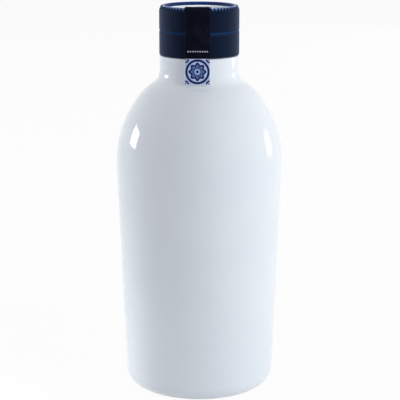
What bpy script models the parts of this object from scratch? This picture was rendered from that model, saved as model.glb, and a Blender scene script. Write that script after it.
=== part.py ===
"""Bottle vase: a glazed porcelain bottle whose neck wears a two-ring metal collar on a
blue enamelled liner, with a card label folded over the rim and a tile-print tag below it.

Metres, +Z up. The origin is the centre of the foot ring on the table, and the label
faces -Y, turned a little towards -X.
"""

import math

import bmesh
import bpy
from mathutils import Matrix, Vector

MM = 0.001

# Whole vase
RIM_HEIGHT = 250.0 * MM  # table to the crest of the collar's rolled rim
CLEARANCE = 0.3 * MM  # between pieces that touch or slide on each other
TURN_STEPS = 64  # facets round every turned piece

# Porcelain body, outline from the collar's ledge down
NECK_RADIUS = 25.4 * MM
NECK_SHOWING = 9.7 * MM  # straight neck between the collar and the flare
FLARE_RADIUS = 10.0 * MM
FLARE_TURN = math.radians(57.3)
SHOULDER_RADIUS = 35.0 * MM
SHOULDER_TURN = math.radians(19.2)
FLANK_RADIUS = 70.3 * MM
FLANK_TAPER = math.radians(2.15)  # lean of the straight flank towards the foot
HEEL_RADIUS = 11.3 * MM
WALL = 4.0 * MM
FLOOR = 4.0 * MM
FOOT_WIDTH = 4.0 * MM  # flat unglazed ring that stands on the table
FOOT_RECESS = 2.0 * MM
FOOT_FILLET = 1.5 * MM
LIP_ROUND = 0.9 * MM
LEDGE_ROUND = 0.6 * MM

# Collar
COLLAR_HEIGHT = 31.3 * MM  # lower edge to the crest of the rim
COLLAR_PROUD = 0.1 * MM  # how far its face stands out from the neck
RING_THICKNESS = 0.9 * MM
LINER_THICKNESS = 0.6 * MM
RIM_REACH = 1.6 * MM  # how far the rolled rim reaches in over the porcelain lip
RIM_ROLL = 0.8 * MM  # radius of the rolled edge
RIM_DEPTH = 1.9 * MM  # height of the blue face above the porcelain lip
RIM_LEAN = math.radians(18.4)  # the liner leans in below its roll
STOP_HEIGHT = 15.5 * MM  # lower edge of the collar to the liner's stop bead
STOP_WIDTH = 1.0 * MM
STOP_SUNK = 0.2 * MM  # the bead lies this far below the rings' faces
HEM_ROUND = 0.8 * MM  # rounded lower edge of the lower ring
LINE_WIDTH = 0.5 * MM  # engraved line under the bead
LINE_DEPTH = 0.3 * MM
LINE_DROP = 1.8 * MM  # bead to engraved line

# Knurled crown of the upper ring
TOOTH_COUNT = 64
TOOTH_HEIGHT = 1.8 * MM
NOTCH_WIDTH = 1.15 * MM
NOTCH_ROUND = 0.35 * MM
TIP_THICKNESS = 0.5 * MM
TIP_BELOW_CREST = 0.25 * MM
CROWN_DEPTH = 2.9 * MM  # crest down to where the ring's face starts to lean in
CROWN_ROUND = 3.0 * MM

# Label and tag
LABEL_WIDTH = 15.9 * MM
LABEL_THICKNESS = 0.4 * MM
LABEL_TURN = math.radians(-2.2)  # about Z, from facing -Y
LABEL_END = 0.6 * MM  # its lower end above the collar's lower edge
LABEL_BEND = 2.0 * MM  # radius over the outer edge of the rim
LABEL_FOLD = 1.5 * MM  # radius into the mouth
LABEL_TAIL = 6.0 * MM  # straight end inside the mouth
TAG_HEIGHT = 16.3 * MM
TAG_THICKNESS = 0.8 * MM
TAG_EDGE = 0.2 * MM
CREASE_FRONT = 0.1 * MM  # the crease lies this far in front of the tag's face

# Levels and radii that follow from the sizes above
LEDGE_LEVEL = RIM_HEIGHT - COLLAR_HEIGHT - CLEARANCE
HEM_LEVEL = RIM_HEIGHT - COLLAR_HEIGHT
LIP_LEVEL = RIM_HEIGHT - RIM_DEPTH - CLEARANCE
STOP_LEVEL = HEM_LEVEL + STOP_HEIGHT
COLLAR_RADIUS = NECK_RADIUS + COLLAR_PROUD
RING_BORE = COLLAR_RADIUS - RING_THICKNESS
LINER_RADIUS = RING_BORE - CLEARANCE
LINER_BORE = LINER_RADIUS - LINER_THICKNESS
LAND_RADIUS = LINER_BORE - CLEARANCE
MOUTH_RADIUS = NECK_RADIUS - WALL
RIM_BORE = LINER_BORE - RIM_REACH
ROLL_CENTRE = RIM_BORE + RIM_ROLL
ROLL_LEVEL = RIM_HEIGHT - RIM_ROLL


class Outline:
    """A pen that draws one side of a turned shape. Heading 0 is straight down, and
    positive turns swing it outwards."""

    def __init__(self, radius, level, heading=0.0):
        self.points = [(radius, level)]
        self.heading = heading

    def line(self, length):
        radius, level = self.points[-1]
        step = (length * math.sin(self.heading), length * math.cos(self.heading))
        self.points.append((radius + step[0], level - step[1]))

    def line_to_level(self, level):
        self.line((self.points[-1][1] - level) / math.cos(self.heading))

    def to(self, radius, level):
        self.points.append((radius, level))

    def bend(self, radius, turn, steps):
        """Follows an arc that is tangent to the heading on both sides."""
        part = turn / steps
        chord = 2 * radius * math.sin(abs(part) / 2)
        for _ in range(steps):
            self.heading += part / 2
            self.line(chord)
            self.heading += part / 2


def vessel_side(inset, bottom, heel, steps):
    """One face of the porcelain wall from the ledge to the foot, inset from the glaze."""
    flare, shoulder, flank, foot = steps
    side = Outline(NECK_RADIUS - inset, LEDGE_LEVEL)
    side.line(NECK_SHOWING)
    side.bend(FLARE_RADIUS + inset, FLARE_TURN, flare)
    side.bend(SHOULDER_RADIUS - inset, -SHOULDER_TURN, shoulder)
    side.bend(FLANK_RADIUS - inset, SHOULDER_TURN - FLARE_TURN - FLANK_TAPER, flank)
    side.line_to_level(bottom + heel * (1 - math.sin(FLANK_TAPER)))
    side.bend(heel, FLANK_TAPER - math.pi / 2, foot)
    return side.points


def make_material(name, colour, roughness, metallic=0.0):
    material = bpy.data.materials.new(name)
    material.use_nodes = True
    shader = material.node_tree.nodes["Principled BSDF"]
    shader.inputs["Base Color"].default_value = (*colour, 1.0)
    shader.inputs["Roughness"].default_value = roughness
    shader.inputs["Metallic"].default_value = metallic
    return material


def add_object(name, mesh, collection, material=None):
    piece = bpy.data.objects.new(name, mesh)
    collection.objects.link(piece)
    if material:
        mesh.materials.append(material)
    return piece


def turned(name, points, collection, material, closed=True):
    """Turns an outline about Z. A closed outline makes a ring, an open one starts and
    ends on the axis."""
    mesh = bpy.data.meshes.new(name)
    edges = [(i, i + 1) for i in range(len(points) - 1)]
    if closed:
        edges.append((len(points) - 1, 0))
    mesh.from_pydata([(radius, 0.0, level) for radius, level in points], edges, [])
    piece = add_object(name, mesh, collection, material)
    screw = piece.modifiers.new("Turn", "SCREW")
    screw.steps = TURN_STEPS
    screw.render_steps = TURN_STEPS
    screw.use_merge_vertices = True
    screw.merge_threshold = 0.00001
    screw.use_smooth_shade = True
    return piece


def make_vase_body(collection):
    """Slip-cast bottle, one wall from the lip to a recessed foot, with the neck stepped
    in to a land that the collar slides over."""
    inner = vessel_side(WALL, FOOT_RECESS + FLOOR, HEEL_RADIUS - WALL, (3, 2, 6, 4))
    outer = vessel_side(0.0, 0.0, HEEL_RADIUS, (6, 4, 9, 7))
    quarter = math.pi / 2

    lip_wall = LAND_RADIUS - MOUTH_RADIUS
    lip_round = min(LIP_ROUND, 0.45 * lip_wall)
    lip = Outline(MOUTH_RADIUS, LIP_LEVEL - lip_round, math.pi)
    lip.bend(lip_round, -quarter, 2)
    lip.line(lip_wall - 2 * lip_round)
    lip.bend(lip_round, -quarter, 2)

    ledge = Outline(LAND_RADIUS, LEDGE_LEVEL, quarter)
    ledge.line(NECK_RADIUS - LAND_RADIUS - LEDGE_ROUND)
    ledge.bend(LEDGE_ROUND, -quarter, 2)

    foot_fillet = min(FOOT_FILLET, 0.8 * FOOT_RECESS)
    foot = Outline(outer[-1][0] - FOOT_WIDTH, 0.0, -math.pi)
    foot.bend(foot_fillet, quarter, 2)
    foot_slope = FOOT_RECESS - foot_fillet
    foot.to(foot.points[-1][0] - foot_slope, FOOT_RECESS)

    points = [(0.0, inner[-1][1])]
    points += reversed(inner[1:])
    points += lip.points + ledge.points + outer[1:] + foot.points
    points.append((0.0, FOOT_RECESS))
    porcelain = make_material("glazed_porcelain", (0.86, 0.88, 0.91), 0.08)
    return turned("vase_body", points, collection, porcelain, closed=False)


def make_collar_liner(collection):
    """Blue enamelled sleeve with a rolled rim over the porcelain lip and a bead half-way
    down that stops both rings."""
    sleeve = Outline(RIM_BORE, ROLL_LEVEL, math.pi)
    sleeve.bend(RIM_ROLL, RIM_LEAN - math.pi, 7)
    sleeve.line((LINER_RADIUS - sleeve.points[-1][0]) / math.sin(RIM_LEAN))
    bead_out = COLLAR_RADIUS - STOP_SUNK
    top, below = STOP_LEVEL + STOP_WIDTH / 2, STOP_LEVEL - STOP_WIDTH / 2
    sleeve.to(LINER_RADIUS, top)
    sleeve.to(bead_out, top)
    sleeve.to(bead_out, below)
    sleeve.to(LINER_RADIUS, below)
    sleeve.to(LINER_RADIUS, HEM_LEVEL)
    sleeve.to(LINER_BORE, HEM_LEVEL)
    sleeve.to(LINER_BORE, RIM_HEIGHT - RIM_DEPTH)
    sleeve.to(RIM_BORE, RIM_HEIGHT - RIM_DEPTH)
    enamel = make_material("cobalt_enamel", (0.006, 0.024, 0.12), 0.15)
    return turned("collar_liner", sleeve.points, collection, enamel)


def notch_cutter(collection):
    """All the notches of the crown as one cutter: round-bottomed slots along radii."""
    tip_level = RIM_HEIGHT - TIP_BELOW_CREST
    floor_level = tip_level - TOOTH_HEIGHT
    slot_end = COLLAR_RADIUS + RING_THICKNESS
    length = slot_end - RIM_BORE
    height = 2 * TOOTH_HEIGHT
    slots = bmesh.new()
    bmesh.ops.create_cube(slots, size=1.0)
    bmesh.ops.scale(slots, vec=(length, NOTCH_WIDTH, height), verts=slots.verts)
    lower = [
        edge
        for edge in slots.edges
        if all(vert.co.z < 0 for vert in edge.verts)
        and edge.verts[0].co.y == edge.verts[1].co.y
    ]
    bmesh.ops.bevel(
        slots,
        geom=lower,
        offset=NOTCH_ROUND,
        segments=2,
        profile=0.5,
        affect="EDGES",
        material=-1,
    )
    centre = Vector((slot_end - length / 2, 0, floor_level + height / 2))
    bmesh.ops.translate(slots, vec=centre, verts=slots.verts)
    first = slots.verts[:] + slots.edges[:] + slots.faces[:]
    for number in range(1, TOOTH_COUNT):
        copy = bmesh.ops.duplicate(slots, geom=first)["geom"]
        verts = [part for part in copy if isinstance(part, bmesh.types.BMVert)]
        turn = Matrix.Rotation(math.tau * number / TOOTH_COUNT, 3, "Z")
        bmesh.ops.rotate(slots, cent=(0, 0, 0), matrix=turn, verts=verts)
    mesh = bpy.data.meshes.new("crown_notches")
    slots.to_mesh(mesh)
    slots.free()
    cutter = add_object("crown_notches", mesh, collection)
    cutter.rotation_euler.z = LABEL_TURN
    cutter.hide_render = True
    cutter.display_type = "WIRE"
    return cutter


def make_upper_collar(collection, cutters):
    """Dark ring with the knurled crown: its teeth lean in round the liner's roll."""
    lower_level = STOP_LEVEL + STOP_WIDTH / 2 + CLEARANCE
    tip_level = RIM_HEIGHT - TIP_BELOW_CREST
    # The bore follows the liner, offset by the clearance.
    roll_edge = ROLL_CENTRE + RIM_ROLL * math.cos(RIM_LEAN)
    roll_edge_level = ROLL_LEVEL + RIM_ROLL * math.sin(RIM_LEAN)
    lean = math.tan(RIM_LEAN)
    liner_corner = roll_edge_level - (LINER_RADIUS - roll_edge) / lean
    bore_corner = liner_corner + CLEARANCE * math.tan(RIM_LEAN / 2)
    tip_bore = RING_BORE - (tip_level - bore_corner) * lean

    face_corner = RIM_HEIGHT - CROWN_DEPTH
    face_lean = math.atan2(
        COLLAR_RADIUS - tip_bore - TIP_THICKNESS, tip_level - face_corner
    )
    tangent = CROWN_ROUND * math.tan(face_lean / 2)
    ring = Outline(tip_bore, tip_level)
    ring.to(tip_bore + TIP_THICKNESS, tip_level)
    ring.heading = face_lean
    slope = (tip_level - face_corner) / math.cos(face_lean)
    ring.line(slope - tangent)
    ring.bend(CROWN_ROUND, -face_lean, 4)
    ring.line_to_level(lower_level)
    ring.to(RING_BORE, lower_level)
    ring.to(RING_BORE, bore_corner)
    satin = make_material("navy_satin", (0.010, 0.016, 0.034), 0.42)
    collar = turned("upper_collar", ring.points, collection, satin)
    # A notch lies under the middle of the label, and each is clear of the ring's seams.
    collar.rotation_euler.z = LABEL_TURN + math.pi / TOOTH_COUNT
    notches = collar.modifiers.new("Notches", "BOOLEAN")
    notches.operation = "DIFFERENCE"
    notches.object = notch_cutter(cutters)
    return collar


def make_lower_collar(collection):
    """Dark skirt ring between the liner's bead and the ledge, with one engraved line."""
    upper_level = STOP_LEVEL - STOP_WIDTH / 2 - CLEARANCE
    line_level = STOP_LEVEL - LINE_DROP
    skirt = Outline(RING_BORE, upper_level)
    skirt.to(COLLAR_RADIUS, upper_level)
    skirt.line_to_level(line_level + LINE_WIDTH / 2)
    skirt.to(COLLAR_RADIUS - LINE_DEPTH, line_level)
    skirt.to(COLLAR_RADIUS, line_level - LINE_WIDTH / 2)
    hem_round = min(HEM_ROUND, 0.9 * RING_THICKNESS)
    skirt.line_to_level(HEM_LEVEL + hem_round)
    skirt.bend(hem_round, -math.pi / 2, 4)
    skirt.to(RING_BORE, HEM_LEVEL)
    satin = make_material("navy_satin_skirt", (0.010, 0.016, 0.034), 0.42)
    return turned("lower_collar", skirt.points, collection, satin)


def make_label_strip(collection):
    """Card strip folded over the front of the rim: flat across its width, so it touches
    the collar along its middle and the mouth at its edges."""
    half = LABEL_THICKNESS / 2
    front = COLLAR_RADIUS + CLEARANCE + half
    top = RIM_HEIGHT + CLEARANCE + half
    bore = min(MOUTH_RADIUS, RIM_BORE)
    reach = math.sqrt(bore**2 - (LABEL_WIDTH / 2) ** 2)
    back = reach - CLEARANCE - half
    quarter = math.pi / 2

    path = Outline(front, HEM_LEVEL + LABEL_END, math.pi)
    path.line_to_level(top - LABEL_BEND)
    path.bend(LABEL_BEND, quarter, 6)
    path.line(front - LABEL_BEND - back - LABEL_FOLD)
    path.bend(LABEL_FOLD, quarter, 6)
    path.line(LABEL_TAIL)

    sheet = bmesh.new()
    verts = [sheet.verts.new((-LABEL_WIDTH / 2, -out, up)) for out, up in path.points]
    edges = [sheet.edges.new(pair) for pair in zip(verts, verts[1:])]
    swept = bmesh.ops.extrude_edge_only(sheet, edges=edges)["geom"]
    moved = [part for part in swept if isinstance(part, bmesh.types.BMVert)]
    bmesh.ops.translate(sheet, vec=(LABEL_WIDTH, 0, 0), verts=moved)
    mesh = bpy.data.meshes.new("label_strip")
    sheet.to_mesh(mesh)
    sheet.free()
    card = make_material("black_card", (0.008, 0.008, 0.012), 0.5)
    strip = add_object("label_strip", mesh, collection, card)
    strip.rotation_euler.z = LABEL_TURN
    wall = strip.modifiers.new("Card", "SOLIDIFY")
    wall.thickness = LABEL_THICKNESS
    wall.offset = 0.0
    return strip


def tag_rest_angle(crease_out, crease_level):
    """Angle from hanging straight down at which the tag's lower back edge lies the
    clearance off the porcelain flare."""
    flare_out = NECK_RADIUS + FLARE_RADIUS - crease_out
    flare_down = crease_level - (LEDGE_LEVEL - NECK_SHOWING)
    to_centre = math.hypot(flare_out, flare_down)
    back = TAG_THICKNESS + CREASE_FRONT
    drop = TAG_HEIGHT + CLEARANCE / 2
    to_edge = math.hypot(back, drop)
    reach = FLARE_RADIUS - CLEARANCE
    cosine = (to_edge**2 + to_centre**2 - reach**2) / (2 * to_edge * to_centre)
    return math.atan2(flare_out, flare_down) + math.atan2(back, drop) - math.acos(cosine)


def make_tile_tag(collection):
    """Tile-print tag that hangs from the label's lower end and swings on its crease."""
    back_out = COLLAR_RADIUS + CLEARANCE
    crease_out = back_out + TAG_THICKNESS + CREASE_FRONT
    crease_level = HEM_LEVEL + LABEL_END - CLEARANCE / 2
    turn = Matrix.Rotation(LABEL_TURN, 4, "Z")
    place = turn @ Matrix.Translation((0, -crease_out, crease_level))
    crease = bpy.data.objects.new("tag_crease", None)
    collection.objects.link(crease)
    crease.matrix_world = place

    plate = bmesh.new()
    bmesh.ops.create_cube(plate, size=1.0)
    size = (LABEL_WIDTH, TAG_THICKNESS, TAG_HEIGHT)
    bmesh.ops.scale(plate, vec=size, verts=plate.verts)
    drop = (CLEARANCE + TAG_HEIGHT) / 2
    offset = (0, CREASE_FRONT + TAG_THICKNESS / 2, -drop)
    bmesh.ops.translate(plate, vec=offset, verts=plate.verts)
    mesh = bpy.data.meshes.new("tile_tag")
    plate.to_mesh(mesh)
    plate.free()
    tile = make_material("tile_print", (0.55, 0.63, 0.80), 0.25)
    tag = add_object("tile_tag", mesh, collection, tile)
    tag.parent = crease
    tag.rotation_euler.x = -tag_rest_angle(crease_out, crease_level)
    edges = tag.modifiers.new("Edges", "BEVEL")
    edges.width = TAG_EDGE
    edges.segments = 2
    edges.limit_method = "ANGLE"
    return tag


def main():
    for item in list(bpy.data.objects):
        bpy.data.objects.remove(item, do_unlink=True)
    scene = bpy.context.scene
    vase = bpy.data.collections.new("bottle_vase")
    cutters = bpy.data.collections.new("cutters")
    scene.collection.children.link(vase)
    scene.collection.children.link(cutters)

    make_vase_body(vase)
    make_collar_liner(vase)
    make_upper_collar(vase, cutters)
    make_lower_collar(vase)
    make_label_strip(vase)
    make_tile_tag(vase)


main()
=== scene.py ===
"""Looks of the bottle vase: glazed porcelain, a blue-lined navy collar with a knurled
crown, a black card label folded over the rim, and a printed tile tag."""

import math

import bmesh
import bpy
from mathutils import Matrix, Vector


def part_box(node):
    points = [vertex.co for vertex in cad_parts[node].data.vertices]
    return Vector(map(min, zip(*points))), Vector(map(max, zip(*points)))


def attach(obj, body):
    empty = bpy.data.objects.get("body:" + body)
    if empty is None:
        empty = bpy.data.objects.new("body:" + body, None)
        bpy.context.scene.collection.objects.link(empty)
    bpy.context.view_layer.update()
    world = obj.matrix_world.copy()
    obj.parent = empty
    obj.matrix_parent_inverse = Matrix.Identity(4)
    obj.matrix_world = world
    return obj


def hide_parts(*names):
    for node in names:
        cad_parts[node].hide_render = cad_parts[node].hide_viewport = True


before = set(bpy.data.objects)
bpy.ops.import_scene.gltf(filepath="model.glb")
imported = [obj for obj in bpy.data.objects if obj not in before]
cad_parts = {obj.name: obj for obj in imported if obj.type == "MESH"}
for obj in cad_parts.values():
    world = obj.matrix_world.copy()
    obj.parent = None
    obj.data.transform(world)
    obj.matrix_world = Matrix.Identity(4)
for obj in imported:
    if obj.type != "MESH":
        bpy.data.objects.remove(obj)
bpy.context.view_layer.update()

# Camera
# It stands where the photograph was taken from: a long lens, a little above the rim,
# with the whole vase filling the height of the picture.
MM = 0.001
PICTURE = 400  # pixels across the photograph
FOCAL = 1450  # its lens, in those pixels
PITCH = math.radians(13.0)
DISTANCE = 947 * MM
AIM_LEVEL = 123.05 * MM
AXIS_PIXEL = 199.3  # column of the vase's axis

camera = bpy.data.objects.new("camera", bpy.data.cameras.new("camera"))
camera.data.lens = camera.data.sensor_width * FOCAL / PICTURE
camera.location = (
    (PICTURE / 2 - AXIS_PIXEL) * DISTANCE / FOCAL,
    -DISTANCE * math.cos(PITCH),
    AIM_LEVEL + DISTANCE * math.sin(PITCH),
)
camera.rotation_euler = (math.pi / 2 - PITCH, 0, 0)
bpy.context.scene.collection.objects.link(camera)
bpy.context.scene.camera = camera
bpy.context.scene.view_settings.view_transform = "Standard"


# Studio
# A pale floor in a white room. Two softboxes a little behind the vase show as its sharp
# highlights. Plain panels and two small lamps, at the heel and mouth, give the rest.
class Tone:
    """An output of a finish's nodes, on which sums are done as on a number."""

    def __init__(self, tree, socket=None):
        self.tree = tree
        self.socket = socket

    def node(self, kind, settings=None, inputs=None, output=0):
        """Adds a node of a kind, with its settings and its sockets' values or tones."""
        made = self.tree.nodes.new(kind)
        for name, value in (settings or {}).items():
            setattr(made, name, value)
        for name, value in (inputs or {}).items():
            if isinstance(value, Tone):
                self.tree.links.new(value.socket, made.inputs[name])
            else:
                made.inputs[name].default_value = value
        return Tone(self.tree, made.outputs[output]) if made.outputs else None

    def twin(self, name):
        """Another output of the same node."""
        return Tone(self.tree, self.socket.node.outputs[name])

    def parts(self):
        """The X, Y and Z of a place."""
        x = self.node("ShaderNodeSeparateXYZ", inputs={0: self})
        return x, x.twin("Y"), x.twin("Z")

    def work(self, operation, *values):
        """One sum on some values, tones among them."""
        inputs = dict(enumerate(values))
        return self.node("ShaderNodeMath", {"operation": operation}, inputs)

    def __add__(self, other):
        return self.work("ADD", self, other)

    def __sub__(self, other):
        return self.work("SUBTRACT", self, other)

    def __rsub__(self, other):
        return self.work("SUBTRACT", other, self)

    def __mul__(self, other):
        return self.work("MULTIPLY", self, other)

    def __abs__(self):
        return self.work("ABSOLUTE", self)

    __radd__ = __add__
    __rmul__ = __mul__

    def root(self):
        return self.work("SQRT", self)

    def larger(self, other):
        return self.work("MAXIMUM", self, other)

    def rise(self, low, high):
        """0 below low, 1 above high, and a smooth step between them."""
        settings = {"interpolation_type": "SMOOTHSTEP"}
        inputs = {"Value": self, "From Min": low, "From Max": high}
        return self.node("ShaderNodeMapRange", settings, inputs)

    def band(self, middle, half, edge):
        """1 within half of the middle, fading to 0 over an edge."""
        return 1 - abs(self - middle).rise(half, half + edge)

    def colour(self, low, high):
        """The colour low where this is 0, and high where it is 1."""
        inputs = {0: self, 6: low, 7: high}
        return self.node("ShaderNodeMix", {"data_type": "RGBA"}, inputs, 2)


AMBIENT = 0.26  # the room's light on the vase, where 1 is white
WHITE = (1.0, 1.0, 1.0, 1.0)
ROOM_LIGHT = (0.94, 0.93, 1.0, 1.0)
FLOOR_SHOWN = 0.94  # share of plain white in the floor as it is seen
FLOOR_PAINT = (0.88, 0.89, 0.90, 1.0)
FLOOR_RADIUS = 7.0


def background_rays(tree):
    """1 for the rays that show the background: the camera's, mirrored and refracted."""
    rays = Tone(tree).node("ShaderNodeLightPath")
    mirrored = rays.larger(rays.twin("Is Glossy Ray"))
    return mirrored.larger(rays.twin("Is Transmission Ray"))


room = bpy.data.worlds.new("room")
room.use_nodes = True
room.node_tree.nodes.clear()
bpy.context.scene.world = room
shown = background_rays(room.node_tree)
air = shown.node(
    "ShaderNodeBackground",
    inputs={
        "Color": shown.colour(ROOM_LIGHT, WHITE),
        "Strength": shown * (1 - AMBIENT) + AMBIENT,
    },
)
air.node("ShaderNodeOutputWorld", inputs={"Surface": air})

floor_finish = bpy.data.materials.new("floor")
floor_finish.use_nodes = True
floor_finish.node_tree.nodes.clear()
floor_finish.cycles.emission_sampling = "NONE"
shown = background_rays(floor_finish.node_tree)
paint = shown.node("ShaderNodeBsdfDiffuse", inputs={"Color": FLOOR_PAINT})
glow = shown.node("ShaderNodeEmission", inputs={"Color": WHITE, "Strength": 1.0})
ground = shown.node(
    "ShaderNodeMixShader", inputs={0: shown * FLOOR_SHOWN, 1: paint, 2: glow}
)
ground.node("ShaderNodeOutputMaterial", inputs={"Surface": ground})

disc = bmesh.new()
bmesh.ops.create_circle(disc, cap_ends=True, segments=96, radius=FLOOR_RADIUS)
floor = bpy.data.objects.new("floor", bpy.data.meshes.new("floor"))
disc.to_mesh(floor.data)
disc.free()
floor.data.materials.append(floor_finish)
bpy.context.scene.collection.objects.link(floor)

LAMP_COLOUR = (0.95, 0.985, 0.99)
SHOULDER_LEVEL = 170 * MM
HEEL_LEVEL = 20 * MM
OVER_MOUTH = 263 * MM
BOX_AWAY = 1.3  # metres from the vase, as are the lamps' other distances and sizes
PANEL_AWAY = 2.0


def softbox(
    name,
    azimuth,
    elevation,
    distance,
    size,
    level,
    aim=SHOULDER_LEVEL,
    spread=180,
    mirrored=True,
):
    """A lamp aimed at the vase's shoulder, or at another level of its axis. Azimuth 0
    is the camera's side and 90 the right, in degrees as elevation and spread are. Level
    is its light on a face turned to it, where 1 is white. One that isn't mirrored gives
    light, but no highlight."""
    light = bpy.data.lights.new(name, "AREA")
    light.shape = "RECTANGLE"
    light.size, light.size_y = size
    light.spread = math.radians(spread)
    light.energy = 4 * math.pi * level * distance**2 * math.sin(light.spread / 2) ** 2
    light.color = LAMP_COLOUR
    lamp = bpy.data.objects.new(name, light)
    turn = Matrix.Rotation(math.radians(azimuth), 3, "Z")
    tilt = Matrix.Rotation(math.radians(-elevation), 3, "X")
    outwards = turn @ tilt @ Vector((0, -1, 0))
    lamp.location = Vector((0, 0, aim)) + outwards * distance
    lamp.rotation_euler = outwards.to_track_quat("Z", "Y").to_euler()
    lamp.visible_camera = False
    lamp.visible_glossy = mirrored
    bpy.context.scene.collection.objects.link(lamp)


softbox("left_box", -107.5, 9.2, BOX_AWAY, (0.34, 0.27), 0.13)
softbox("right_box", 113.5, 3.5, BOX_AWAY, (0.29, 0.33), 0.04)
softbox("left_panel", -112, 12, PANEL_AWAY, (0.9, 1.2), 0.265, mirrored=False)
softbox("low_lamp", -72, 0, 0.15, (0.05, 0.03), 0.06, aim=HEEL_LEVEL, mirrored=False)
softbox("front_panel", 50, 16, PANEL_AWAY, (0.5, 0.5), 0.295, mirrored=False)
softbox("right_panel", 88, 16, PANEL_AWAY, (0.8, 1.0), 0.185, mirrored=False)
softbox("upper_panel", -40, 70, PANEL_AWAY, (1.5, 1.5), 0.135, mirrored=False)
softbox("back_panel", 150, 20, PANEL_AWAY, (1.5, 1.5), 0.20, mirrored=False)
softbox(
    "mouth_lamp",
    azimuth=0,
    elevation=38,
    distance=0.25,
    size=(0.016, 0.008),
    level=0.20,
    aim=OVER_MOUTH,
    spread=10,
    mirrored=False,
)


# Porcelain bottle
# One slip-cast wall from the lip to a recessed foot, in a cool white gloss glaze. The
# land that the collar slides over and the ring that the bottle stands on are bare.
class Outline:
    """A pen that draws a cross-section in the plane of X and Z. Heading 0 is straight
    down, and positive turns swing it outwards."""

    def __init__(self, radius, level, heading=0.0):
        self.mesh = bmesh.new()
        self.lift(radius, level, heading)

    def lift(self, radius, level, heading=0.0):
        """Starts a new line."""
        self.start = self.tip = self.mesh.verts.new((radius, 0, level))
        self.heading = heading

    def to(self, radius, level):
        made = bmesh.ops.extrude_vert_indiv(self.mesh, verts=[self.tip])
        self.tip = made["verts"][0]
        self.tip.co = (radius, 0, level)

    def line(self, length):
        across = length * math.sin(self.heading)
        down = length * math.cos(self.heading)
        self.to(self.tip.co.x + across, self.tip.co.z - down)

    def line_to_level(self, level):
        self.line((self.tip.co.z - level) / math.cos(self.heading))

    def bend(self, radius, turn, steps):
        """Follows an arc that is tangent to the heading at both ends."""
        side = Vector((math.cos(self.heading), 0, math.sin(self.heading)))
        drawn = bmesh.ops.spin(
            self.mesh,
            geom=[self.tip],
            cent=self.tip.co + side * math.copysign(radius, turn),
            axis=(0, -1, 0),
            angle=turn,
            steps=steps,
        )
        self.tip = drawn["geom_last"][0]
        self.heading += turn

    def close(self):
        self.mesh.edges.new((self.tip, self.start))


SMOOTH_BELOW = math.radians(35)  # edges that turn further than this stay sharp
WELD = 0.001 * MM


def finished(name, piece):
    """Makes an object of a bmesh, shaded smooth but for its sharp edges."""
    made = bpy.data.objects.new(name, bpy.data.meshes.new(name))
    piece.to_mesh(made.data)
    piece.free()
    made.data.shade_smooth()
    made.data.set_sharp_from_angle(angle=SMOOTH_BELOW)
    bpy.context.scene.collection.objects.link(made)
    return made


def turned(name, outline, steps):
    """Spins an outline about the vase's axis into one closed piece."""
    piece = outline.mesh
    bmesh.ops.spin(
        piece,
        geom=piece.verts[:] + piece.edges[:],
        cent=(0, 0, 0),
        axis=(0, 0, 1),
        angle=math.tau,
        steps=steps,
        use_merge=True,
    )
    bmesh.ops.remove_doubles(piece, verts=piece.verts, dist=WELD)
    bmesh.ops.recalc_face_normals(piece, faces=piece.faces)
    return finished(name, piece)


ROUND = 192  # steps round each turned piece
QUARTER = math.pi / 2
NECK_RADIUS = 25.4 * MM
NECK_SHOWING = 9.7 * MM
LAND_RADIUS = 23.4 * MM
LIP_LEVEL = 247.8 * MM
LIP_ROUND = 0.9 * MM
LEDGE_LEVEL = 218.4 * MM
LEDGE_ROUND = 0.6 * MM
FLARE_RADIUS = 10.0 * MM
FLARE_TURN = math.radians(57.3)
SHOULDER_RADIUS = 35.0 * MM
SHOULDER_TURN = math.radians(19.2)
FLANK_RADIUS = 70.3 * MM
TAPER = math.radians(2.15)
HEEL_RADIUS = 11.3 * MM
WALL = 4.0 * MM
MOUTH_RADIUS = NECK_RADIUS - WALL
FLOOR_LEVEL = 6.0 * MM
FOOT_WIDTH = 4.0 * MM
FOOT_RECESS = 2.0 * MM
FOOT_FILLET = 1.5 * MM


def wall_face(pen, inset, bottom, heel):
    """Draws one face of the wall down from the neck: flare, shoulder, flank and heel."""
    pen.line_to_level(LEDGE_LEVEL - NECK_SHOWING)
    pen.bend(FLARE_RADIUS + inset, FLARE_TURN, 14)
    pen.bend(SHOULDER_RADIUS - inset, -SHOULDER_TURN, 10)
    pen.bend(FLANK_RADIUS - inset, SHOULDER_TURN - FLARE_TURN - TAPER, 24)
    pen.line_to_level(bottom + heel * (1 - math.sin(TAPER)))
    pen.bend(heel, TAPER - QUARTER, 12)


wall = Outline(MOUTH_RADIUS, LIP_LEVEL - LIP_ROUND, math.pi)
wall.bend(LIP_ROUND, -QUARTER, 6)
wall.line(LAND_RADIUS - MOUTH_RADIUS - 2 * LIP_ROUND)
wall.bend(LIP_ROUND, -QUARTER, 6)
wall.line_to_level(LEDGE_LEVEL)
wall.heading = QUARTER
wall.line(NECK_RADIUS - LAND_RADIUS - LEDGE_ROUND)
wall.bend(LEDGE_ROUND, -QUARTER, 5)
wall_face(wall, 0.0, 0.0, HEEL_RADIUS)
foot_middle = wall.tip.co.x - FOOT_WIDTH / 2
wall.line(FOOT_WIDTH)
wall.heading = -math.pi
wall.bend(FOOT_FILLET, QUARTER, 6)
wall.to(wall.tip.co.x - FOOT_RECESS + FOOT_FILLET, FOOT_RECESS)
wall.to(0, FOOT_RECESS)
wall.tip, wall.heading = wall.start, 0.0
wall_face(wall, WALL, FLOOR_LEVEL, HEEL_RADIUS - WALL)
wall.to(0, FLOOR_LEVEL)
bottle = turned("porcelain_bottle", wall, ROUND)


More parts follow.
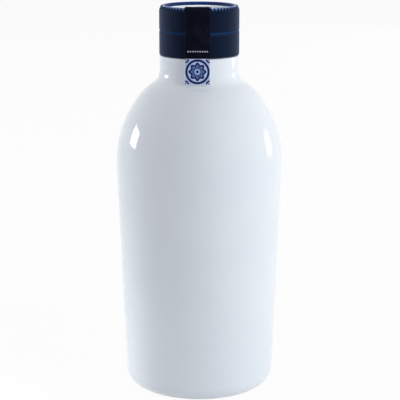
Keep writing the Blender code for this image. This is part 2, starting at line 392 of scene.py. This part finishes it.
def finish_of(piece, name, constants=None):
    """Gives a piece a new finish, and returns it with the tone of the piece's place."""
    finish = bpy.data.materials.new(name)
    finish.use_nodes = True
    piece.data.materials.clear()
    piece.data.materials.append(finish)
    skin = finish.node_tree.nodes["Principled BSDF"]
    for socket, value in (constants or {}).items():
        skin.inputs[socket].default_value = value
    return skin, Tone(finish.node_tree).node("ShaderNodeTexCoord", output="Object")


def link(skin, inputs):
    """Joins tones to the sockets of a finish's shader."""
    for name, value in inputs.items():
        value.tree.links.new(value.socket, skin.inputs[name])


def noise(place, scale, detail=2.0, roughness=0.5):
    """Soft clouds from 0 to 1, so many to the metre."""
    inputs = {"Vector": place, "Scale": scale, "Detail": detail, "Roughness": roughness}
    return place.node("ShaderNodeTexNoise", inputs=inputs)


def relief(height, depth, under=None):
    """Bumps of a depth in metres, on top of others."""
    inputs = {"Height": height, "Distance": depth, "Strength": 1.0}
    if under:
        inputs["Normal"] = under
    return height.node("ShaderNodeBump", inputs=inputs)


GLAZE_WHITE = (0.800, 0.835, 0.880, 1.0)
GLAZE_POOLED = (0.775, 0.815, 0.868, 1.0)  # where the glaze lies thickest
BISCUIT = (0.760, 0.745, 0.715, 1.0)
GLAZE_GLOSS = 0.055  # roughness of the glaze
BISCUIT_MATT = 0.62  # and of the bare clay
FOOT_BARE = 2.4 * MM  # half of the bare ring's width
FOOT_BARE_RISE = 0.5 * MM
WAVE_DEPTH = 0.035 * MM
GRAIN_DEPTH = 0.03 * MM

skin, place = finish_of(bottle, "porcelain_glaze", {"IOR": 1.5})
x, y, z = place.parts()
out = (x * x + y * y).root()
near_ground = z.band(0.0, FOOT_BARE_RISE, 0.35 * MM)
on_foot = near_ground * out.band(foot_middle, FOOT_BARE, 0.5 * MM)
on_land = z.rise(LEDGE_LEVEL + LEDGE_ROUND, LEDGE_LEVEL + 2 * LEDGE_ROUND)
lip_inside = MOUTH_RADIUS + LIP_ROUND
on_land = on_land * out.rise(lip_inside, lip_inside + 0.4 * MM)
bare = on_foot.larger(on_land)
clouds = noise(place, 22.0, 3.0)
grain = noise(place, 2600.0, 3.0, 0.7)
glaze = clouds.rise(0.35, 0.7).colour(GLAZE_WHITE, GLAZE_POOLED)
gloss = (1 - bare) * (GLAZE_GLOSS + clouds * 0.03)
waves = relief(noise(place, 75.0, 1.0), WAVE_DEPTH)
link(
    skin,
    {
        "Base Color": bare.colour(glaze, BISCUIT),
        "Roughness": bare * (BISCUIT_MATT + grain * 0.12) + gloss,
        "Normal": relief(grain * bare, GRAIN_DEPTH, waves),
    },
)
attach(bottle, "vase")
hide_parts("vase_body")

# Enamelled liner
# A thin metal sleeve in gloss cobalt enamel. Its rolled rim caps the porcelain lip, and
# runs pale over the crest: thin enamel with a painted highlight. Its bead is the line at
# mid-height.
liner_low, liner_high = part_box("collar_liner")
RIM_LEVEL = liner_high.z
HEM_LEVEL = liner_low.z
COLLAR_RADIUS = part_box("lower_collar")[1].x
CLEARANCE = 0.3 * MM
RING_BORE = COLLAR_RADIUS - 0.9 * MM
LINER_RADIUS = RING_BORE - CLEARANCE
LINER_BORE = LINER_RADIUS - 0.6 * MM
RIM_BORE = LINER_BORE - 1.6 * MM
RIM_ROLL = 0.8 * MM
RIM_DEPTH = 1.9 * MM
RIM_LEAN = math.radians(18.4)
BEAD_LEVEL = HEM_LEVEL + 15.5 * MM
BEAD_HALF = 0.5 * MM
BEAD_SUNK = 0.2 * MM
BEAD_ROUND = 0.2 * MM

sleeve = Outline(RIM_BORE, RIM_LEVEL - RIM_ROLL, math.pi)
sleeve.bend(RIM_ROLL, RIM_LEAN - math.pi, 14)
sleeve.line((LINER_RADIUS - sleeve.tip.co.x) / math.sin(RIM_LEAN))
sleeve.heading = 0.0
sleeve.line_to_level(BEAD_LEVEL + BEAD_HALF)
sleeve.heading = QUARTER
bead_reach = COLLAR_RADIUS - BEAD_SUNK - LINER_RADIUS - BEAD_ROUND
sleeve.line(bead_reach)
sleeve.bend(BEAD_ROUND, -QUARTER, 4)
sleeve.line(2 * (BEAD_HALF - BEAD_ROUND))
sleeve.bend(BEAD_ROUND, -QUARTER, 4)
sleeve.line(bead_reach)
sleeve.heading = 0.0
sleeve.line_to_level(HEM_LEVEL)
sleeve.to(LINER_BORE, HEM_LEVEL)
sleeve.to(LINER_BORE, RIM_LEVEL - RIM_DEPTH)
sleeve.to(RIM_BORE, RIM_LEVEL - RIM_DEPTH)
sleeve.close()
liner = turned("enamelled_liner", sleeve, ROUND)

ENAMEL_DEEP = (0.006, 0.028, 0.140, 1.0)
ENAMEL_THIN_AND_HIGHLIGHT = (0.29, 0.44, 0.86, 1.0)
ENAMEL_BEAD = (0.004, 0.038, 0.115, 1.0)
ENAMEL_COAT = 0.4  # the gloss over all of it but the bead
PALE_WANDER = 0.35 * MM  # how unevenly the pale crest begins: thin enamel and painted highlight
PALE_START = 0.10 * MM  # out from the crest
PALE_FULL = 0.45 * MM
PALE_FOOT = 2.1 * MM  # down from the rim
PALE_TOP = 0.6 * MM

constants = {"Specular IOR Level": 0.04, "Coat Roughness": 0.08}
skin, place = finish_of(liner, "cobalt_enamel", constants)
x, y, z = place.parts()
out = (x * x + y * y).root()
clouds = noise(place, 350.0, 3.0)
# The crest is painted pale: partly thin enamel, partly a painted highlight along it.
crest = RIM_BORE + RIM_ROLL
uneven_out = out + (clouds - 0.5) * PALE_WANDER
pale_crest = uneven_out.rise(crest + PALE_START, crest + PALE_FULL)
pale_crest = pale_crest * z.rise(RIM_LEVEL - PALE_FOOT, RIM_LEVEL - PALE_TOP)
on_bead = out.rise(LINER_RADIUS + 0.1 * MM, LINER_RADIUS + 0.3 * MM)
deep = on_bead.colour(ENAMEL_DEEP, ENAMEL_BEAD)
link(
    skin,
    {
        "Base Color": pale_crest.colour(deep, ENAMEL_THIN_AND_HIGHLIGHT),
        "Roughness": 0.30 + clouds * 0.12,
        "Coat Weight": (1 - on_bead) * ENAMEL_COAT,
        "Normal": relief(noise(place, 900.0, 1.0), 0.008 * MM),
    },
)
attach(liner, "collar")
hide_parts("collar_liner")

# Upper ring
# A ring of spun metal in a satin navy coat, pressed onto the liner above the bead. Its
# crown leans in round the roll and is milled into 64 teeth, rounded at every edge.
TEETH = 64
PITCH_ANGLE = math.tau / TEETH
TIP_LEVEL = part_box("upper_collar")[1].z
RING_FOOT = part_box("upper_collar")[0].z
TIP_THICKNESS = 0.5 * MM
NOTCH_DEPTH = 1.8 * MM
NOTCH_FLOOR = TIP_LEVEL - NOTCH_DEPTH
NOTCH_WIDTH = 1.15 * MM
NOTCH_RADIUS = COLLAR_RADIUS - 0.8 * MM  # where a notch is that wide
NOTCH_ANGLE = NOTCH_WIDTH / NOTCH_RADIUS
NOTCH_ROUND = 0.35 * MM
FACE_CORNER = RIM_LEVEL - 2.9 * MM
CROWN_ROUND = 3.0 * MM
EDGE_ROUND = 0.12 * MM
LABEL_TURN = math.radians(-2.2)

lean_fall = math.tan(RIM_LEAN)
roll_out = RIM_BORE + RIM_ROLL + RIM_ROLL * math.cos(RIM_LEAN)
roll_level = RIM_LEVEL - RIM_ROLL + RIM_ROLL * math.sin(RIM_LEAN)
bore_corner = roll_level - (LINER_RADIUS - roll_out) / lean_fall
bore_corner += CLEARANCE * math.tan(RIM_LEAN / 2)
tip_bore = RING_BORE - (TIP_LEVEL - bore_corner) * lean_fall
tip_face = tip_bore + TIP_THICKNESS
face_lean = math.atan2(COLLAR_RADIUS - tip_face, TIP_LEVEL - FACE_CORNER)
face_slope = (TIP_LEVEL - FACE_CORNER) / math.cos(face_lean)
tangent = CROWN_ROUND * math.tan(face_lean / 2)
half_way = (TIP_LEVEL + NOTCH_FLOOR) / 2

rim = Outline(tip_face, TIP_LEVEL, face_lean)
rim.line_to_level(half_way)
rim.line_to_level(NOTCH_FLOOR)
rim.line_to_level(TIP_LEVEL - (face_slope - tangent) * math.cos(face_lean))
rim.bend(CROWN_ROUND, -face_lean, 8)
rim.line_to_level(RING_FOOT)
rim.lift(tip_bore, TIP_LEVEL, RIM_LEAN)
rim.line_to_level(half_way)
rim.line_to_level(NOTCH_FLOOR)
rim.to(RING_BORE, bore_corner)
rim.to(RING_BORE, RING_FOOT)

# One tooth is spun, then one notch with its faces above the floor cut away.
crown = rim.mesh
about_axis = {"cent": (0, 0, 0), "axis": (0, 0, 1)}
tooth_angle = PITCH_ANGLE - NOTCH_ANGLE
outlines = crown.verts[:] + crown.edges[:]
tooth = bmesh.ops.spin(crown, geom=outlines, angle=tooth_angle, steps=4, **about_axis)
tooth_faces = set(crown.faces)
bmesh.ops.spin(crown, geom=tooth["geom_last"], angle=NOTCH_ANGLE, steps=3, **about_axis)
cut_away = [
    face
    for face in crown.faces
    if face not in tooth_faces and face.calc_center_median().z > NOTCH_FLOOR
]
bmesh.ops.delete(crown, geom=cut_away, context="FACES")
others = TEETH - 1
bmesh.ops.spin(
    crown,
    geom=crown.verts[:] + crown.edges[:] + crown.faces[:],
    angle=PITCH_ANGLE * others,
    steps=others,
    use_duplicate=True,
    **about_axis,
)
bmesh.ops.remove_doubles(crown, verts=crown.verts, dist=WELD)
# A notch lies under the middle of the label.
to_label = Matrix.Rotation(LABEL_TURN + NOTCH_ANGLE / 2, 3, "Z")
bmesh.ops.rotate(crown, cent=(0, 0, 0), matrix=to_label, verts=crown.verts)

# The two shells are joined along the foot and along the crest.
waist = (RING_FOOT + NOTCH_FLOOR) / 2
open_edges = [edge for edge in crown.edges if edge.is_boundary]
foot_edges = [edge for edge in open_edges if edge.verts[0].co.z < waist]
crest_edges = [edge for edge in open_edges if edge.verts[0].co.z >= waist]
# The bridge pairs its loops by distance and needs millimetres as its unit for that.
bmesh.ops.scale(crown, vec=(1 / MM, 1 / MM, 1 / MM), verts=crown.verts)
bmesh.ops.bridge_loops(crown, edges=foot_edges)
bmesh.ops.bridge_loops(crown, edges=crest_edges)
bmesh.ops.scale(crown, vec=(MM, MM, MM), verts=crown.verts)
bmesh.ops.recalc_face_normals(crown, faces=crown.faces)


def crosses_ring(edge):
    """Whether an edge runs through the ring's thickness."""
    radii = [vert.co.xy.length for vert in edge.verts]
    return abs(radii[0] - radii[1]) > 0.2 * MM


# The corners at the notches' floors are rounded, then every sharp edge is eased.
corners = [
    edge
    for edge in crown.edges
    if all(abs(vert.co.z - NOTCH_FLOOR) < 0.01 * MM for vert in edge.verts)
    and crosses_ring(edge)
    and edge.calc_face_angle() > math.radians(57)
]
bevelled = {"profile": 0.5, "affect": "EDGES", "material": -1}
bmesh.ops.bevel(crown, geom=corners, offset=NOTCH_ROUND, segments=3, **bevelled)
edges = [edge for edge in crown.edges if edge.calc_face_angle() > math.radians(50)]
bmesh.ops.bevel(crown, geom=edges, offset=EDGE_ROUND, segments=2, **bevelled)
upper_ring = finished("upper_ring", crown)

NAVY = (0.0034, 0.0080, 0.0220, 1.0)
NAVY_CLOUD = (0.0046, 0.0098, 0.0260, 1.0)
NAVY_RUBBED = (0.020, 0.030, 0.052, 1.0)
NOTCH_PAINTED_GLINT = (0.065, 0.120, 0.220, 1.0)  # painted reflection on the sides of the notches
SHEEN = (0.38, 0.48, 0.92, 1.0)
TIPS_RUBBED = 0.35 * MM  # depth of the wear on the tips of the teeth


def satin_navy(piece, top, rub, notch_glint=None):
    """A satin coat of paint over spun metal: fine grain, faint turning marks, a little
    rubbed within a depth of its top edge, and a painted reflection where a mask is
    given."""
    constants = {
        "Specular IOR Level": 0.025,
        "Sheen Weight": 0.34,
        "Sheen Roughness": 0.45,
        "Sheen Tint": SHEEN,
    }
    skin, place = finish_of(piece, "satin_navy", constants)
    x, y, z = place.parts()
    clouds = noise(place, 120.0, 4.0, 0.6)
    grain = noise(place, 3800.0, 2.0, 0.6)
    rings = place.node("ShaderNodeCombineXYZ", inputs={2: z})
    marks = noise(rings, 2400.0, 2.0, 0.6)
    rubbed = z.rise(top - rub, top) * clouds.rise(0.40, 0.72)
    coat = rubbed.colour(clouds.colour(NAVY, NAVY_CLOUD), NAVY_RUBBED)
    # The sides of the notches are painted lighter, as a painted reflection.
    if notch_glint:
        coat = notch_glint(x, y, z).colour(coat, NOTCH_PAINTED_GLINT)
    link(
        skin,
        {
            "Base Color": coat,
            "Roughness": 0.40 + clouds * 0.12 - rubbed * 0.08,
            "Normal": relief(grain, 0.006 * MM, relief(marks, 0.004 * MM)),
        },
    )


def notch_sides(x, y, z):
    """1 on the sides of the notches, fading to 0 towards their floors: where the painted
    reflection lies.
    """
    half = 0.12 * MM / COLLAR_RADIUS
    fade = 0.05 * MM / COLLAR_RADIUS
    turn = y.work("ARCTAN2", y, x)
    from_notch = turn.work("PINGPONG", turn - LABEL_TURN, PITCH_ANGLE / 2)
    side = from_notch.band(NOTCH_ANGLE / 2, half, fade)
    return side * z.rise(NOTCH_FLOOR + 0.2 * MM, NOTCH_FLOOR + 0.8 * MM)


satin_navy(upper_ring, TIP_LEVEL, TIPS_RUBBED, notch_sides)
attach(upper_ring, "collar")
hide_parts("upper_collar")

# Lower ring
# The matching skirt ring below the bead. One fine line is engraved under its upper edge,
# and its hem is rolled under, just clear of the porcelain ledge.
SKIRT_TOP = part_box("lower_collar")[1].z
LINE_LEVEL = BEAD_LEVEL - 1.8 * MM
LINE_HALF = 0.25 * MM
LINE_DEPTH = 0.3 * MM
HEM_ROUND = 0.8 * MM
SKIRT_RUBBED = 0.3 * MM

skirt = Outline(RING_BORE, SKIRT_TOP, QUARTER)
skirt.line(COLLAR_RADIUS - RING_BORE - EDGE_ROUND)
skirt.bend(EDGE_ROUND, -QUARTER, 3)
skirt.line_to_level(LINE_LEVEL + LINE_HALF)
skirt.to(COLLAR_RADIUS - LINE_DEPTH, LINE_LEVEL)
skirt.to(COLLAR_RADIUS, LINE_LEVEL - LINE_HALF)
skirt.line_to_level(HEM_LEVEL + HEM_ROUND)
skirt.bend(HEM_ROUND, -QUARTER, 8)
skirt.to(RING_BORE, HEM_LEVEL)
skirt.close()
lower_ring = turned("lower_ring", skirt, ROUND)
satin_navy(lower_ring, SKIRT_TOP, SKIRT_RUBBED)
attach(lower_ring, "collar")
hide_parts("lower_collar")

# Card label
# A strip of black card, folded flat over the front of the rim with its end tucked into
# the mouth. Its face is bare but for a row of small pale dots near the lower end.
LABEL_WIDTH = 15.9 * MM
LABEL_THICKNESS = 0.4 * MM
LABEL_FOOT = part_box("label_strip")[0].z
LABEL_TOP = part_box("label_strip")[1].z
LABEL_BEND = 2.0 * MM
LABEL_FOLD = 1.5 * MM
LABEL_TAIL = 6.0 * MM
LABEL_EDGE = 0.06 * MM
FACING = Matrix.Rotation(LABEL_TURN - QUARTER, 3, "Z")  # turns +X to the label's front

half_width = LABEL_WIDTH / 2
front = COLLAR_RADIUS + CLEARANCE + LABEL_THICKNESS / 2
over = LABEL_TOP - LABEL_THICKNESS / 2
mouth = math.sqrt(MOUTH_RADIUS**2 - half_width**2)
back = mouth - CLEARANCE - LABEL_THICKNESS / 2

fold = Outline(front, LABEL_FOOT, math.pi)
fold.line_to_level(over - LABEL_BEND)
fold.bend(LABEL_BEND, QUARTER, 10)
fold.line(front - LABEL_BEND - back - LABEL_FOLD)
fold.bend(LABEL_FOLD, QUARTER, 10)
fold.line(LABEL_TAIL)

card = fold.mesh
run = card.verts.layers.float.new("run")
card.verts.ensure_lookup_table()
for before, after in zip(card.verts[:], card.verts[1:]):
    after[run] = before[run] + (after.co - before.co).length
drawn = card.verts[:]
swept = bmesh.ops.extrude_edge_only(card, edges=card.edges[:])["geom"]
moved = [part for part in swept if isinstance(part, bmesh.types.BMVert)]
bmesh.ops.translate(card, vec=(0, half_width, 0), verts=moved)
bmesh.ops.translate(card, vec=(0, -half_width, 0), verts=drawn)
# The map gives each point's place across the card and along its run.
card_place = card.loops.layers.uv.new("label")
for face in card.faces:
    for loop in face.loops:
        loop[card_place].uv = (loop.vert.co.y + half_width, loop.vert[run])
bmesh.ops.recalc_face_normals(card, faces=card.faces)
bmesh.ops.rotate(card, cent=(0, 0, 0), matrix=FACING, verts=card.verts)
label = finished("card_label", card)
board = label.modifiers.new("Board", "SOLIDIFY")
board.thickness = LABEL_THICKNESS
board.offset = 0.0
cut = label.modifiers.new("Cut", "BEVEL")
cut.width = LABEL_EDGE
cut.segments = 2
cut.limit_method = "ANGLE"

CARD_BLACK = (0.0035, 0.0042, 0.0105, 1.0)
CARD_GREY = (0.0085, 0.0095, 0.0190, 1.0)
CARD_CORE = (0.030, 0.031, 0.038, 1.0)
DOT_WHITE = (0.55, 0.57, 0.62, 1.0)
DOT_SPACING = 1.5 * MM
DOT_RADIUS = 0.50 * MM
DOT_LEVEL = 4.15 * MM  # above the label's lower end
DOT_ROW = 6.6 * MM  # half of the row

constants = {"Specular IOR Level": 0.04, "Specular Tint": SHEEN}
skin, place = finish_of(label, "black_card", constants)
sheet = place.node("ShaderNodeUVMap", {"uv_map": "label"})
u, v, _ = sheet.parts()
fibres = noise(place, 1500.0, 4.0, 0.65)
clouds = noise(place, 160.0, 3.0)
from_middle = abs(u - half_width)
edge_worn = from_middle.rise(half_width - 0.3 * MM, half_width - 0.05 * MM)
dot_across = u.work("PINGPONG", u - half_width, DOT_SPACING / 2)
dot_up = v - DOT_LEVEL
dot_away = (dot_across * dot_across + dot_up * dot_up).root()
dots = 1 - dot_away.rise(DOT_RADIUS * 0.8, DOT_RADIUS)
dots = dots * (1 - from_middle.rise(DOT_ROW, DOT_ROW + 0.01 * MM))
black = clouds.rise(0.3, 0.8).colour(CARD_BLACK, CARD_GREY)
rubbed = (edge_worn * 0.6).colour(black, CARD_CORE)
link(
    skin,
    {
        "Base Color": dots.colour(rubbed, DOT_WHITE),
        "Roughness": 0.60 + fibres * 0.12 - dots * 0.2,
        "Normal": relief(fibres, 0.012 * MM),
    },
)
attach(label, "collar")
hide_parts("label_strip")

# Tile tag
# A square of white-cored card on the label's lower end, printed in blues with a plain
# rosette in a ring and glazed with clear film. It hangs just off the neck's flare.
TAG_HEIGHT = 16.3 * MM
TAG_THICKNESS = 0.8 * MM
TAG_EDGE = 0.2 * MM

plate = bmesh.new()
bmesh.ops.create_cube(plate, size=1.0)
bmesh.ops.scale(plate, vec=(LABEL_WIDTH, TAG_THICKNESS, TAG_HEIGHT), verts=plate.verts)
bmesh.ops.bevel(plate, geom=plate.edges[:], offset=TAG_EDGE, segments=3, **bevelled)
print_place = plate.loops.layers.uv.new("print")
# Only the front lies on the print. The back and the edges are off it, and stay paper.
for face in plate.faces:
    off_print = 0 if face.normal.y < -0.9 else 2
    for loop in face.loops:
        across, up = loop.vert.co.x / LABEL_WIDTH, loop.vert.co.z / TAG_HEIGHT
        loop[print_place].uv = (across + 0.5, up + 0.5 + off_print)

# It is made upright at the origin, and then hung at the angle that its solid hangs at.
tag_low, tag_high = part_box("tile_tag")
cad_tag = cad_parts["tile_tag"].data
facing = min(cad_tag.polygons, key=lambda face: face.normal.y * face.area).normal
rightwards = (-facing).cross(Vector((0, 0, 1))).normalized()
upwards = rightwards.cross(-facing)
hang = Matrix((rightwards, -facing, upwards)).transposed().to_4x4()
hang.translation = (tag_low + tag_high) / 2
bmesh.ops.transform(plate, matrix=hang, verts=plate.verts)
tag = finished("printed_tag", plate)

PAPER = (0.80, 0.86, 0.94, 1.0)
PALE_BLUE = (0.46, 0.57, 0.86, 1.0)
MID_BLUE = (0.14, 0.23, 0.50, 1.0)
DEEP_BLUE = (0.004, 0.010, 0.085, 1.0)
PRINT_MIDDLE = (0.495, 0.51)  # the print sits a little off the card's middle
PRINT_SPAN = 2.06  # the card's width, in halves of the print
# The radii and widths below are shares of half the print.
RING, RING_HALF = 0.89, 0.075
PETALS, PETALS_HALF, PETALS_WAVE = 0.56, 0.08, 0.08
TINT_INNER, TINT_OUTER = 0.19, 0.58
STAR, STAR_HALF, STAR_WAVE = 0.33, 0.025, 0.04
HUB = 0.10
CORNER_RING, CORNER_HALF = 0.27, 0.05
CORNER_DOT = 0.11
SOFT = 0.03  # how far the ink's edges bleed


def within(away, radius):
    """1 inside a radius, up to the ink's soft edge."""
    return 1 - away.rise(radius, radius + SOFT)


skin, place = finish_of(tag, "tile_print", {"Specular IOR Level": 0.15})
sheet = place.node("ShaderNodeUVMap", {"uv_map": "print"})
ink = noise(place, 900.0, 3.0)
u, v, _ = sheet.parts()
x = (u - PRINT_MIDDLE[0]) * PRINT_SPAN
y = (v - PRINT_MIDDLE[1]) * PRINT_SPAN
away = (x * x + y * y).root() + (ink - 0.5) * 0.02
turn = y.work("ARCTAN2", y, x)
eight = turn.work("COSINE", turn * 8)
petals = away - eight * PETALS_WAVE
star = away - eight * STAR_WAVE
corner_x, corner_y = 1 - abs(x), 1 - abs(y)
corner = (corner_x * corner_x + corner_y * corner_y).root()
tinted = within(petals, TINT_OUTER) * (1 - within(star, TINT_INNER))
deep = away.band(RING, RING_HALF, SOFT)
deep = deep.larger(petals.band(PETALS, PETALS_HALF, SOFT))
deep = deep.larger(star.band(STAR, STAR_HALF, SOFT))
deep = deep.larger(within(away, HUB))
deep = deep.larger(corner.band(CORNER_RING, CORNER_HALF, SOFT))
deep = deep.larger(within(corner, CORNER_DOT))
printed = (1 - abs(x).rise(0.98, 1.0)) * (1 - abs(y).rise(0.98, 1.0))
blues = tinted.colour(PALE_BLUE, MID_BLUE)
link(
    skin,
    {
        "Base Color": printed.colour(PAPER, deep.colour(blues, DEEP_BLUE)),
        "Roughness": 0.34 + ink * 0.06 + (1 - printed) * 0.15,
        "Normal": relief(noise(place, 1400.0), 0.006 * MM),
    },
)
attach(tag, "tag")
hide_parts("tile_tag")
